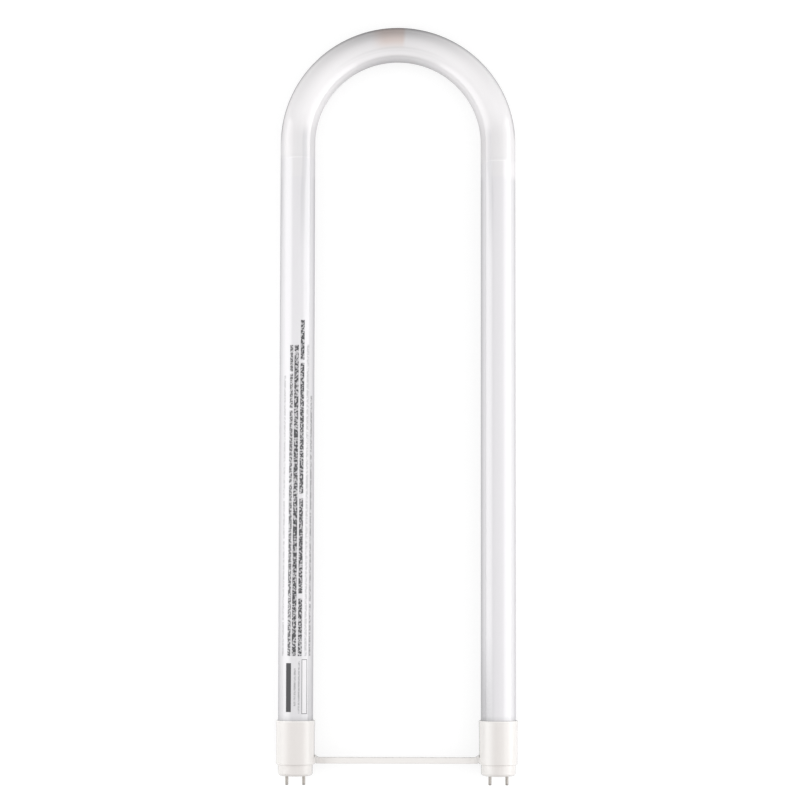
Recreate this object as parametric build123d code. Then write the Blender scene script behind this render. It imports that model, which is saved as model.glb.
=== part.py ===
from build123d import *
import os
from math import acos, asin, degrees, sqrt

# A U-bend lamp: one frosted glass tube bent into a U. A moulded bracket sleeves both leg ends, a base cap
# with two contact pins plugs into each end, and a strip of LEDs is bonded inside each leg.
# The lamp lies flat. X runs across the legs, Y along them towards the bend and Z up, and the origin is
# under the middle of the lamp. All sizes are in millimetres.

# Whole lamp
overall_length = 574.0  # pin tips to the top of the bend
leg_spacing = 152.4  # leg axis to leg axis

# Glass tube
tube_diameter = 26.3
glass_wall = 0.9

# Contact pins
pin_spacing = 12.7
pin_diameter = 2.35
pin_length = 7.1  # stands out of the base
pin_tip_radius = 0.6
pin_shank_diameter = 2.9  # moulded into the end wall
pin_flange_diameter = 4.4
pin_flange_thickness = 0.8
pin_tail_diameter = 1.6
pin_tail_length = 6.0

# Base caps
collar_inset = 0.1  # the collar is this much smaller than the tube all round
collar_length = 8.5  # shows below the sleeve
collar_edge_radius = 2.2
end_wall = 3.2
skirt_length = 18.0  # base face to the shoulder under the glass
neck_length = 9.0
neck_wall = 1.2
neck_clearance = 0.25

# Bracket
sleeve_length = 32.8
sleeve_wall = 1.0
sleeve_foot_radius = 0.9
rim_bead_length = 4.3
rim_bead_height = 0.2
rim_bead_slope = 0.5  # length of the bead's run-in
rim_edge_radius = 0.4
bond_gap = 0.35  # glass to sleeve, filled with silicone
bond_clearance = 0.05  # silicone to glass
bond_to_rim = 2.5
lip_length = 3.0  # close fit on the collar at the sleeve's lower end
lip_clearance = 0.1
bar_inset = 0.6  # the bar starts this far above the sleeves' lower edge
bar_width = 4.6
bar_depth = 7.0
bar_edge_radius = 0.7
bar_fillet = 3.0

# LED strips
strip_width = 10.0
strip_thickness = 1.0
strip_clearance = 0.15  # edges of the strip's back to the glass
strip_from_neck = 4.0
strip_to_bend = 23.5
bead_width = 7.0
bead_margin = 3.0
bead_clearance = 0.02
led_length = 3.5
led_width = 2.8
led_height = 0.8
led_chamfer = 0.2
led_pitch = 8.75
led_end_margin = 10.0

# Diffuser films
film_thickness = 0.25
film_clearance = 0.1  # film to glass
film_strip_gap = 0.6  # film edge to strip edge
film_from_neck = 1.0
film_to_bend = 11.5

# Circuit boards in the bases
board_thickness = 1.6
board_edge_clearance = 0.15
board_from_flange = 1.5
board_past_strip = 8.5  # the boards reach this far under the strips
solder_gap = 0.05  # pin tail to board
header_pin_diameter = 0.8
header_pin_spacing = 5.0
header_from_strip_end = 4.5
component_gap = 0.5
choke_diameter = 8.0
choke_height = 6.5
choke_flange = 1.2
choke_groove = 0.5
capacitor_diameter = 8.0
capacitor_length = 12.0
capacitor_groove = 0.4
capacitor_groove_from_end = 1.6
rectifier_width = 4.6
rectifier_length = 6.4
rectifier_height = 2.5
rectifier_chamfer = 0.3
rectifier_lead_width = 0.8
rectifier_lead_length = 1.1
rectifier_lead_thickness = 0.4
fuse_diameter = 2.6
fuse_length = 8.0
fuse_cap_length = 1.8
fuse_cap_step = 0.2
film_capacitor_width = 5.0
film_capacitor_length = 11.0
film_capacitor_height = 9.0
film_capacitor_chamfer = 0.4
resistor_diameter = 3.2
resistor_length = 9.0
resistor_end_length = 2.2
resistor_waist = 0.35

# Lead and tape in the bend
lead_width = 3.0
lead_thickness = 1.3
lead_chamfer = 0.35
lead_on_strip = 4.0  # soldered length under the strip's end
lead_past_strip = 2.0  # straight on before it turns to the wall
lead_turn_radius = 12.0
lead_to_tape = 0.1
tape_length = 19.0
tape_thickness = 0.15
tape_clearance = 0.05  # tape to glass
tape_left_of_top = 5.0
tape_angle = 97.0  # round the tube, from its outermost line over the top

# Worked out from the sizes above
tube_radius = tube_diameter / 2
glass_inner_radius = tube_radius - glass_wall
sleeve_bore_radius = tube_radius + bond_gap
sleeve_radius = sleeve_bore_radius + sleeve_wall
rim_bead_radius = sleeve_radius + rim_bead_height
collar_radius = tube_radius - collar_inset
lip_radius = collar_radius + lip_clearance
neck_radius = glass_inner_radius - neck_clearance
base_bore_radius = neck_radius - neck_wall
axis_height = rim_bead_radius
bend_y = overall_length / 2 - leg_spacing / 2 - tube_radius
base_y = pin_length - overall_length / 2
bend_from_base = bend_y - base_y
rim_from_base = collar_length + sleeve_length
rim_bead_start = rim_from_base - rim_bead_length
neck_end = skirt_length + neck_length
flange_top = end_wall + pin_flange_thickness
tail_end = flange_top + pin_tail_length
strip_start = neck_end + strip_from_neck
strip_end = bend_from_base - strip_to_bend
strip_length = strip_end - strip_start
strip_back = sqrt((glass_inner_radius - strip_clearance) ** 2 - (strip_width / 2) ** 2)
strip_face = strip_back - strip_thickness
header_at = strip_start + header_from_strip_end
board_top = -pin_tail_diameter / 2 - solder_gap
board_start = flange_top + board_from_flange
board_end = strip_start + board_past_strip
board_length = board_end - board_start


def leg_frame(side):
    """Frame of the left (-1) or right (1) leg: Z runs from the base face to the bend, and Y is up."""
    origin = (side * leg_spacing / 2, base_y, axis_height)
    return Plane(origin=origin, x_dir=(-1, 0, 0), z_dir=(0, 1, 0))


def turned(*outline):
    """Solid of revolution about Z from (radius, height) points."""
    return revolve(Plane.XZ * make_face(Polyline(*outline, close=True)), axis=Axis.Z)


def glass_tube():
    """Bent tube whose cut ends butt on the shoulders of the base caps."""
    x = leg_spacing / 2
    end_y = base_y + skirt_length
    left_leg = Line((-x, end_y), (-x, bend_y))
    bend = CenterArc((0, bend_y), x, 180, -180)
    right_leg = Line((x, bend_y), (x, end_y))
    path = Pos(0, 0, axis_height) * Wire([left_leg, bend, right_leg])
    section = Circle(tube_radius) - Circle(glass_inner_radius)
    return sweep(Plane(path @ 0, z_dir=path % 0) * section, path=path)


def bracket_bar():
    """Rounded bar from leg axis to leg axis, with a flare on its upper side where it meets each sleeve."""
    end = leg_spacing / 2
    reach = end - sleeve_radius
    flare_x = reach - bar_fillet
    flare_top = bar_width + bar_fillet
    bar_section = Pos(bar_width / 2, 0) * RectangleRounded(bar_width, bar_depth, bar_edge_radius)
    bar = extrude(Plane.YZ * bar_section, amount=end, both=True)
    flare_outline = [
        CenterArc((flare_x, flare_top), bar_fillet, 270, 90),
        Polyline(
            (reach, flare_top),
            (end, flare_top),
            (end, bar_width / 2),
            (flare_x, bar_width / 2),
            (flare_x, bar_width),
        ),
    ]
    flare = extrude(make_face(flare_outline), amount=bar_depth / 2 - bar_edge_radius, both=True)
    bar_y = base_y + collar_length + bar_inset
    return Pos(0, bar_y, axis_height) * (bar + flare + mirror(flare, about=Plane.YZ))


def beaded_sleeve():
    """Sleeve before it is bored: a rounded foot, and a shallow bead round the rim."""
    sleeve = turned(
        (0, collar_length),
        (sleeve_radius, collar_length),
        (sleeve_radius, rim_bead_start),
        (rim_bead_radius, rim_bead_start + rim_bead_slope),
        (rim_bead_radius, rim_from_base),
        (0, rim_from_base),
    )
    foot_edge = sleeve.edges().filter_by(GeomType.CIRCLE).group_by(Axis.Z)[0]
    sleeve = fillet(foot_edge, radius=sleeve_foot_radius)
    rim_edge = sleeve.edges().filter_by(GeomType.CIRCLE).group_by(Axis.Z)[-1]
    return fillet(rim_edge, radius=rim_edge_radius)


def leg_bracket():
    """One moulding: two sleeves with stepped bores and the bar that spaces them."""
    bracket = bracket_bar()
    for side in (-1, 1):
        bracket += leg_frame(side) * beaded_sleeve()
    for side in (-1, 1):
        bore = extrude(Pos(0, 0, collar_length) * Circle(lip_radius), amount=sleeve_length)
        bore += extrude(
            Pos(0, 0, collar_length + lip_length) * Circle(sleeve_bore_radius),
            amount=sleeve_length - lip_length,
        )
        bracket -= leg_frame(side) * bore
    return bracket


def sleeve_bond(side):
    """Silicone that fills the gap between the glass and its sleeve."""
    length = rim_from_base - bond_to_rim - skirt_length
    section = Circle(sleeve_bore_radius) - Circle(tube_radius + bond_clearance)
    return leg_frame(side) * extrude(Pos(0, 0, skirt_length) * section, amount=length)


def base_cap(side):
    """Cup with a rounded end, a shoulder for the glass, a neck inside it and a hole for each pin."""
    cup = turned(
        (0, 0),
        (collar_radius, 0),
        (collar_radius, skirt_length),
        (neck_radius, skirt_length),
        (neck_radius, neck_end),
        (base_bore_radius, neck_end),
        (base_bore_radius, end_wall),
        (0, end_wall),
    )
    end_edge = cup.edges().filter_by(GeomType.CIRCLE).group_by(Axis.Z)[0]
    cup = fillet(end_edge, radius=collar_edge_radius)
    for x in (-pin_spacing / 2, pin_spacing / 2):
        cup -= extrude(Pos(x, 0, 0) * Circle(pin_shank_diameter / 2), amount=end_wall)
    return leg_frame(side) * cup


def contact_pin(side, place):
    """Turned pin with a rounded tip, a shank in the end wall, a flange behind it and a solder tail."""
    pin = turned(
        (0, -pin_length),
        (pin_diameter / 2, -pin_length),
        (pin_diameter / 2, 0),
        (pin_shank_diameter / 2, 0),
        (pin_shank_diameter / 2, end_wall),
        (pin_flange_diameter / 2, end_wall),
        (pin_flange_diameter / 2, flange_top),
        (pin_tail_diameter / 2, flange_top),
        (pin_tail_diameter / 2, tail_end),
        (0, tail_end),
    )
    tip_edge = pin.edges().filter_by(GeomType.CIRCLE).group_by(Axis.Z)[0]
    pin = fillet(tip_edge, radius=pin_tip_radius)
    return leg_frame(side) * Pos(place * pin_spacing / 2, 0, 0) * pin


def led_board(side):
    """Circuit strip bonded under the upper wall of the leg, LEDs facing down."""
    section = Pos(0, strip_back - strip_thickness / 2) * Rectangle(strip_width, strip_thickness)
    return leg_frame(side) * extrude(Pos(0, 0, strip_start) * section, amount=strip_length)


def leds(side):
    """Row of surface-mount LED packages on the strip's lower face."""
    package = Pos(0, -led_height / 2, 0) * Box(led_width, led_height, led_length)
    package = chamfer(package.faces().sort_by(Axis.Y)[0].edges(), length=led_chamfer)
    first = header_at + led_end_margin
    count = int((strip_end - led_end_margin - first) // led_pitch) + 1
    row = [Pos(0, strip_face, first + i * led_pitch) * package for i in range(count)]
    return leg_frame(side) * Compound(children=row)


def board_bead(side):
    """Silicone between the strip's back and the glass."""
    radius = glass_inner_radius - bead_clearance
    height = radius - strip_back
    section = Circle(radius) & (Pos(0, strip_back + height / 2) * Rectangle(bead_width, height))
    start = strip_start + bead_margin
    return leg_frame(side) * extrude(Pos(0, 0, start) * section, amount=strip_length - 2 * bead_margin)


def diffuser_film(side):
    """Film rolled against the glass, open along the strip."""
    outer = glass_inner_radius - film_clearance
    inner = outer - film_thickness
    open_half = degrees(asin((strip_width / 2 + film_strip_gap) / inner))
    first = 90 + open_half
    turn = 360 - 2 * open_half
    outside = CenterArc((0, 0), outer, first, turn)
    inside = CenterArc((0, 0), inner, first, turn)
    section = make_face([outside, inside, Line(outside @ 0, inside @ 0), Line(outside @ 1, inside @ 1)])
    start = neck_end + film_from_neck
    length = bend_from_base - film_to_bend - start
    return leg_frame(side) * extrude(Pos(0, 0, start) * section, amount=length)


def circuit_board(side):
    """Board across the bore of the base, under the pin tails."""
    bottom = board_top - board_thickness
    half_width = sqrt((base_bore_radius - board_edge_clearance) ** 2 - bottom**2)
    section = Pos(0, board_top - board_thickness / 2) * Rectangle(2 * half_width, board_thickness)
    return leg_frame(side) * extrude(Pos(0, 0, board_start) * section, amount=board_length)


def header_pins(side):
    """Two straight pins from the circuit board up to the strip."""
    pin = extrude(Circle(header_pin_diameter / 2), amount=strip_face - board_top)
    upright = Rot(-90, 0, 0) * pin
    pair = [Pos(x, board_top, header_at) * upright for x in (-header_pin_spacing / 2, header_pin_spacing / 2)]
    return leg_frame(side) * Compound(children=pair)


def choke():
    """Drum core standing on the board, with its winding between two flanges."""
    radius = choke_diameter / 2
    drum = turned(
        (0, 0),
        (radius, 0),
        (radius, choke_flange),
        (radius - choke_groove, choke_flange),
        (radius - choke_groove, choke_height - choke_flange),
        (radius, choke_height - choke_flange),
        (radius, choke_height),
        (0, choke_height),
    )
    return Rot(-90, 0, 0) * drum


def can_capacitor():
    """Electrolytic can with a rolled groove near its open end."""
    radius = capacitor_diameter / 2
    groove_start = capacitor_groove_from_end
    groove_middle = groove_start + capacitor_groove
    groove_end = groove_middle + capacitor_groove
    return turned(
        (0, 0),
        (radius, 0),
        (radius, groove_start),
        (radius - capacitor_groove, groove_middle),
        (radius, groove_end),
        (radius, capacitor_length),
        (0, capacitor_length),
    )


def rectifier():
    """Moulded bridge package with two flat leads at each end."""
    body = Pos(0, rectifier_height / 2, 0) * Box(rectifier_width, rectifier_height, rectifier_length)
    body = chamfer(body.faces().sort_by(Axis.Y)[-1].edges(), length=rectifier_chamfer)
    lead_x = rectifier_width / 2 - rectifier_lead_width
    lead = Box(rectifier_lead_width, rectifier_lead_thickness, rectifier_length + 2 * rectifier_lead_length)
    for x in (-lead_x, lead_x):
        body += Pos(x, rectifier_lead_thickness / 2, 0) * lead
    return body


def capped_rod(diameter, length, end_length, step):
    """Axial component: a body with a larger end on each side, lying along Z."""
    radius = diameter / 2
    waist = radius - step
    return turned(
        (0, 0),
        (radius, 0),
        (radius, end_length),
        (waist, end_length),
        (waist, length - end_length),
        (radius, length - end_length),
        (radius, length),
        (0, length),
    )


def driver_components():
    """Components on the left board, in a row from the pins towards the header."""
    leg = leg_frame(-1)
    choke_at = tail_end + component_gap + choke_diameter / 2
    can_start = choke_at + choke_diameter / 2 + component_gap
    can_middle = can_start + capacitor_length / 2
    beside = capacitor_diameter / 2 + component_gap
    fuse = capped_rod(fuse_diameter, fuse_length, fuse_cap_length, fuse_cap_step)
    fuse_place = Pos(
        -beside - fuse_diameter / 2,
        board_top + fuse_diameter / 2,
        can_middle - fuse_length / 2,
    )
    return {
        "driver_choke": leg * Pos(0, board_top, choke_at) * choke(),
        "driver_capacitor": leg * Pos(0, board_top + capacitor_diameter / 2, can_start) * can_capacitor(),
        "driver_rectifier": leg * Pos(beside + rectifier_width / 2, board_top, can_middle) * rectifier(),
        "driver_fuse": leg * fuse_place * fuse,
    }


def filament_components():
    """Components on the right board: a film capacitor with a resistor on each side."""
    leg = leg_frame(1)
    start = tail_end + component_gap
    block = Box(film_capacitor_width, film_capacitor_height, film_capacitor_length)
    block = chamfer(block.edges(), length=film_capacitor_chamfer)
    block_y = board_top + film_capacitor_height / 2
    beside = film_capacitor_width / 2 + component_gap + resistor_diameter / 2
    resistor = capped_rod(resistor_diameter, resistor_length, resistor_end_length, resistor_waist)
    resistor_y = board_top + resistor_diameter / 2
    pair = [Pos(x, resistor_y, start) * resistor for x in (-beside, beside)]
    return {
        "filament_capacitor": leg * Pos(0, block_y, start + film_capacitor_length / 2) * block,
        "filament_resistors": leg * Compound(children=pair),
    }


def bend_lead():
    """Flat twin lead from strip to strip, turned out against the outer wall round the bend."""
    reach = glass_inner_radius - tape_clearance - tape_thickness - lead_to_tape
    wall_offset = sqrt(reach**2 - strip_face**2) - lead_width / 2
    turn = degrees(acos(1 - wall_offset / (2 * lead_turn_radius)))
    x = -leg_spacing / 2
    strip_top = base_y + strip_end
    start = Line((x, strip_top - lead_on_strip), (x, strip_top + lead_past_strip))
    out = JernArc(start @ 1, start % 1, lead_turn_radius, turn)
    back = JernArc(out @ 1, out % 1, lead_turn_radius, -turn)
    run = Line(back @ 1, ((back @ 1).X, bend_y))
    left = [start, out, back, run]
    right = [edge.mirror(Plane.YZ) for edge in left]
    arc = CenterArc((0, bend_y), -(run @ 1).X, 180, -180)
    path = Pos(0, 0, axis_height + strip_face - lead_thickness / 2) * Wire([*left, arc, *right])
    section = Rectangle(lead_width, lead_thickness)
    section = chamfer(section.vertices(), length=lead_chamfer)
    return sweep(Plane(path @ 0, x_dir=(1, 0, 0), z_dir=path % 0) * section, path=path)


def bend_tape():
    """Patch on the inner wall at the top of the bend, which the lead bears on."""
    outer = glass_inner_radius - tape_clearance
    inner = outer - tape_thickness
    outside = CenterArc((leg_spacing / 2, 0), outer, 0, tape_angle)
    inside = CenterArc((leg_spacing / 2, 0), inner, 0, tape_angle)
    section = make_face([outside, inside, Line(outside @ 0, inside @ 0), Line(outside @ 1, inside @ 1)])
    bend_radius = leg_spacing / 2 + glass_inner_radius
    sweep_angle = degrees(tape_length / bend_radius)
    middle = 90 + degrees(tape_left_of_top / bend_radius)
    patch = revolve(Plane.XZ * section, axis=Axis.Z, revolution_arc=sweep_angle)
    return Pos(0, bend_y, axis_height) * Rot(0, 0, middle - sweep_angle / 2) * patch


nodes = {
    "glass_tube": glass_tube(),
    "leg_bracket": leg_bracket(),
    "left_outer_pin": contact_pin(-1, 1),
    "left_inner_pin": contact_pin(-1, -1),
    "right_inner_pin": contact_pin(1, 1),
    "right_outer_pin": contact_pin(1, -1),
    "driver_board": circuit_board(-1),
    "filament_board": circuit_board(1),
    "bend_lead": bend_lead(),
    "bend_tape": bend_tape(),
}
nodes.update(driver_components())
nodes.update(filament_components())
for side_name, side in (("left", -1), ("right", 1)):
    nodes[side_name + "_base_cap"] = base_cap(side)
    nodes[side_name + "_sleeve_bond"] = sleeve_bond(side)
    nodes[side_name + "_led_board"] = led_board(side)
    nodes[side_name + "_leds"] = leds(side)
    nodes[side_name + "_board_bead"] = board_bead(side)
    nodes[side_name + "_diffuser_film"] = diffuser_film(side)
    nodes[side_name + "_header_pins"] = header_pins(side)

os.makedirs("parts", exist_ok=True)
for name, shape in nodes.items():
    export_step(shape, f"parts/{name}.step")
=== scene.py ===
import math

import bmesh
import bpy
from mathutils import Matrix, Vector


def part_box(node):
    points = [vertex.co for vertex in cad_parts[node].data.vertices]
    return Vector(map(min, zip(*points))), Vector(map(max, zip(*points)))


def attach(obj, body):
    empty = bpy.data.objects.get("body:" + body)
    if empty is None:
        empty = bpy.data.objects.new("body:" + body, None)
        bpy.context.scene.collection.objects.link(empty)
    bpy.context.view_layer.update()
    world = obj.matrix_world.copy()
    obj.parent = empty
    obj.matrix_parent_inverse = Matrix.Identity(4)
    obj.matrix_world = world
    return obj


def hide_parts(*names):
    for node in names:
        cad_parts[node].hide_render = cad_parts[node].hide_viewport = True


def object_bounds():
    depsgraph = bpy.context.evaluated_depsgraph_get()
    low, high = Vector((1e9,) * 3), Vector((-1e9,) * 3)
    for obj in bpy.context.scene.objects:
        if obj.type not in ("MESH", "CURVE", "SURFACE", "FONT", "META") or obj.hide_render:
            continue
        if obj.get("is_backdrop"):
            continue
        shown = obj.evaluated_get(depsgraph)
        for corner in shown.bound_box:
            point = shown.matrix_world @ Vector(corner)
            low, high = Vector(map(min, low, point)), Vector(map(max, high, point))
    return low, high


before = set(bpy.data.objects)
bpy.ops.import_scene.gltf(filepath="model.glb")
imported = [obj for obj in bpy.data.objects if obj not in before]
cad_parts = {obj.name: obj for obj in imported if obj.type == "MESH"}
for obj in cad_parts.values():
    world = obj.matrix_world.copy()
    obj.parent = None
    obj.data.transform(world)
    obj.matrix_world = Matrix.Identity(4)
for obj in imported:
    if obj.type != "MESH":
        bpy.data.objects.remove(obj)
cad_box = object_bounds()


# LED strips: one long narrow circuit strip in each leg, its back bonded up against the glass.
# Glass-fibre laminate under white solder resist, cut from a panel and left bare on the back.
class Flow:
    """A socket of a finish's node tree that takes part in sums."""

    def __init__(self, tree, socket):
        self.tree = tree
        self.socket = socket

    def node(self, kind, settings, inputs, output=0):
        """Adds a node, sets it up, feeds its sockets and gives one of its outputs."""
        made = self.tree.nodes.new(kind)
        for name, value in settings.items():
            setattr(made, name, value)
        for name, value in inputs.items():
            if isinstance(value, Flow):
                self.tree.links.new(value.socket, made.inputs[name])
            else:
                made.inputs[name].default_value = value
        return Flow(self.tree, made.outputs[output])

    def maths(self, operation, other=0.0):
        return self.node("ShaderNodeMath", {"operation": operation}, {0: self, 1: other})

    def __add__(self, other):
        return self.maths("ADD", other)

    __radd__ = __add__

    def __sub__(self, other):
        return self.maths("SUBTRACT", other)

    def __rsub__(self, other):
        return self.node("ShaderNodeMath", {"operation": "SUBTRACT"}, {0: other, 1: self})

    def __mul__(self, other):
        return self.maths("MULTIPLY", other)

    __rmul__ = __mul__

    def __truediv__(self, other):
        return self.maths("DIVIDE", other)

    def __neg__(self):
        return self.maths("MULTIPLY", -1.0)

    def __abs__(self):
        return self.maths("ABSOLUTE")

    def __round__(self):
        return self.maths("ROUND")


def new_finish(name, constants):
    """A material with its shader's constants set, and the place on the object that it varies with."""
    material = bpy.data.materials.new(name)
    material.use_nodes = True
    tree = material.node_tree
    shader = tree.nodes["Principled BSDF"]
    for socket, value in constants.items():
        shader.inputs[socket].default_value = value
    place = Flow(tree, tree.nodes.new("ShaderNodeTexCoord").outputs["Object"])
    return material, shader, place


def axes(place):
    """The three coordinates of a place."""
    return [place.node("ShaderNodeSeparateXYZ", {}, {"Vector": place}, axis) for axis in range(3)]


def fade(value, start, end):
    """0 at start and 1 at end, with a smooth run between them."""
    settings = {"interpolation_type": "SMOOTHSTEP"}
    return value.node("ShaderNodeMapRange", settings, {"Value": value, "From Min": start, "From Max": end})


def above(value, edge, blur):
    """0 below an edge and 1 above it, with that much blur on each side."""
    return fade(value, edge - blur, edge + blur)


def blend_colours(factor, first, second, way="MIX"):
    colour_factor, colour_first, colour_second, colour_result = 0, 6, 7, 2
    inputs = {colour_factor: factor, colour_first: first, colour_second: second}
    return factor.node("ShaderNodeMix", {"data_type": "RGBA", "blend_type": way}, inputs, colour_result)


def grain(place, scale, detail=2.0):
    """Noise with that many waves to a metre."""
    return place.node("ShaderNodeTexNoise", {}, {"Vector": place, "Scale": scale, "Detail": detail})


def feed(shader, socket, flow):
    flow.tree.links.new(flow.socket, shader.inputs[socket])


def emboss(shader, height, depth):
    """Feeds a height from 0 to 1 to the shader's normal, as relief of that depth in metres."""
    feed(shader, "Normal", height.node("ShaderNodeBump", {}, {"Height": height, "Distance": depth}))


def dress(finish, *names):
    """Gives CAD nodes their finish."""
    for name in names:
        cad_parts[name].material_slots[0].material = finish


strip_low, strip_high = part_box("left_led_board")
strip_middle = -(strip_low.x + strip_high.x) / 2
strip_half_width = (strip_high.x - strip_low.x) / 2
resist_white = (0.80, 0.80, 0.77, 1)
track_white = (0.69, 0.70, 0.66, 1)
laminate_grey = (0.58, 0.58, 0.55, 1)
track_from_edge = 0.0016
track_gap = 0.0003
track_strength = 0.8
back_depth = 0.00035
back_blur = 0.00015
weave_scale = 1600.0
weave_depth = 0.00003

strip_finish, shader, place = new_finish("strip_resist", {"IOR": 1.5})
x, y, z = axes(place)
across = abs(abs(x) - strip_middle)
track_line = fade(abs(across - strip_half_width + track_from_edge), track_gap, track_gap / 2)
bare_back = above(z, strip_high.z - back_depth, back_blur)
faces_down = blend_colours(track_line * track_strength, resist_white, track_white)
weave = grain(place, weave_scale)
feed(shader, "Base Color", blend_colours(bare_back * (0.8 + 0.2 * weave), faces_down, laminate_grey))
feed(shader, "Roughness", 0.38 + 0.25 * weave)
emboss(shader, weave, weave_depth)
dress(strip_finish, "left_led_board", "right_led_board")


# LEDs: surface-mount packages in a row along each strip, facing down.
# White moulded cups filled with yellow phosphor gel, soldered to the strip.
leds_low, leds_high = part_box("left_leds")
led_pitch = 0.00875
led_length = 0.0035
led_half_window = 0.0011
crisp_edge = 0.0001
gel_scale = 3000.0
cup_white = (0.84, 0.83, 0.79, 1)
phosphor_yellow = (0.86, 0.62, 0.12, 1)


def below(value, edge, blur):
    """1 below an edge and 0 above it, with that much blur on each side."""
    return fade(value, edge + blur, edge - blur)


def from_nearest_led(y):
    """Distance along the leg from the middle of the nearest LED."""
    count = (y - leds_low.y - led_length / 2) / led_pitch
    return abs(count - round(count)) * led_pitch


led_finish, shader, place = new_finish("led_phosphor", {"IOR": 1.45})
x, y, z = axes(place)
from_window_middle = from_nearest_led(y).maths("MAXIMUM", abs(abs(x) - strip_middle))
window = below(from_window_middle, led_half_window, crisp_edge)
window = window * fade(z, leds_low.z + 2 * crisp_edge, leds_low.z + crisp_edge)
feed(shader, "Base Color", blend_colours(window, cup_white, phosphor_yellow))
feed(shader, "Roughness", 0.5 - 0.25 * window + 0.1 * grain(place, gel_scale))
dress(led_finish, "left_leds", "right_leds")


# Silicone beads: each strip's back is bonded to the glass by a long bead.
# White neutral-cure silicone, laid from a nozzle and pressed flat by the strip.
silicone_white = (0.78, 0.78, 0.77, 1)
silicone_grey = (0.66, 0.67, 0.68, 1)
cloud_scale = 240.0
cloud_depth = 0.0002

silicone_finish, shader, place = new_finish("silicone", {"IOR": 1.41})
cloud = grain(place, cloud_scale, 4.0)
feed(shader, "Base Color", blend_colours(cloud, silicone_white, silicone_grey))
feed(shader, "Roughness", 0.3 + 0.25 * cloud)
emboss(shader, cloud, cloud_depth)
dress(silicone_finish, "left_board_bead", "right_board_bead")


# Diffuser films: a film rolled up inside each leg spreads the light of the LEDs.
# Matt white polyester, cut to length and held against the glass by its own spring.
film_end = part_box("left_diffuser_film")[1].y
film_white = (0.85, 0.85, 0.86, 1)
film_shade = (0.79, 0.79, 0.80, 1)
sparkle_scale = 5200.0
sparkle_depth = 0.00001

film_finish, shader, place = new_finish("diffuser_film", {"IOR": 1.57})
sparkle = grain(place, sparkle_scale, 1.0)
feed(shader, "Base Color", blend_colours(sparkle, film_white, film_shade))
feed(shader, "Roughness", 0.55 + 0.2 * sparkle)
emboss(shader, sparkle, sparkle_depth)
dress(film_finish, "left_diffuser_film", "right_diffuser_film")


# Circuit boards: the driver's board in the left base and the filament circuit's board in the right one.
# Glass-fibre laminate with green solder resist over copper tracks, slid into the base under the pins.
resist_green = (0.020, 0.135, 0.055, 1)
track_green = (0.045, 0.235, 0.085, 1)
track_scale = 420.0
track_edge = (0.42, 0.36)
track_height = 0.00004
resist_scale = 2400.0

board_finish, shader, place = new_finish("board_resist", {"IOR": 1.5})
cells = {"Vector": place, "Scale": track_scale}
tracks = fade(place.node("ShaderNodeTexVoronoi", {"distance": "CHEBYCHEV"}, cells), *track_edge)
feed(shader, "Base Color", blend_colours(tracks, resist_green, track_green))
feed(shader, "Roughness", 0.3 + 0.15 * grain(place, resist_scale))
emboss(shader, tracks, track_height)
dress(board_finish, "driver_board", "filament_board")


# Choke: a drum core with its winding between two flanges, standing on the driver's board.
# Pressed grey ferrite and enamelled copper wire.
choke_low, choke_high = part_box("driver_choke")
choke_flange = 0.0012
choke_middle = (choke_low.z + choke_high.z) / 2
wound_half = (choke_high.z - choke_low.z) / 2 - choke_flange
wire_pitch = 0.00042
wire_depth = 0.00015
ferrite_scale = 1500.0
ferrite_grey = (0.045, 0.045, 0.05, 1)
enamel_copper = (0.42, 0.15, 0.05, 1)


def ridges(value, pitch):
    """A wave between 0 and 1 with that pitch."""
    return (value * (2 * math.pi / pitch)).maths("SINE") * 0.5 + 0.5


choke_finish, shader, place = new_finish("ferrite_and_copper", {"IOR": 1.5})
x, y, z = axes(place)
wound = fade(abs(z - choke_middle), wound_half, wound_half - crisp_edge)
turns = ridges(z, wire_pitch)
feed(shader, "Base Color", blend_colours(wound * (0.6 + 0.4 * turns), ferrite_grey, enamel_copper))
feed(shader, "Roughness", 0.65 - 0.35 * wound + 0.1 * grain(place, ferrite_scale))
feed(shader, "Metallic", wound * 0.8)
emboss(shader, wound * turns, wire_depth)
dress(choke_finish, "driver_choke")


# Driver capacitor: an electrolytic can lying along the board.
# Drawn aluminium in a dark heat-shrunk sleeve with a pale stripe, its end left bare.
can_low, can_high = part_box("driver_capacitor")
can_axis_x = (can_low.x + can_high.x) / 2
can_stripe_half = 0.0012
bare_end_depth = 0.00045
bare_end_blur = 0.00015
sleeve_scale = 900.0
sleeve_black = (0.022, 0.024, 0.032, 1)
stripe_grey = (0.46, 0.47, 0.50, 1)
bare_aluminium = (0.72, 0.72, 0.73, 1)

can_finish, shader, place = new_finish("capacitor_sleeve", {"IOR": 1.5})
x, y, z = axes(place)
stripe = fade(abs(x - can_axis_x), can_stripe_half + 2 * crisp_edge, can_stripe_half)
bare_end = above(y, can_high.y - bare_end_depth, bare_end_blur)
sleeved = blend_colours(stripe, sleeve_black, stripe_grey)
feed(shader, "Base Color", blend_colours(bare_end, sleeved, bare_aluminium))
feed(shader, "Metallic", bare_end * 0.9)
feed(shader, "Roughness", 0.32 + 0.12 * grain(place, sleeve_scale))
dress(can_finish, "driver_capacitor")


# Rectifier: the bridge that makes direct current from the mains, soldered flat on the driver's board.
# Black epoxy moulded round a tinned lead frame, its four leads spread at the bottom.
bridge_lead_height = 0.00045
bridge_lead_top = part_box("driver_rectifier")[0].z + bridge_lead_height
epoxy_scale = 3800.0
epoxy_depth = 0.00003
epoxy_black = (0.020, 0.020, 0.022, 1)
tinned_grey = (0.60, 0.60, 0.58, 1)

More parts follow.
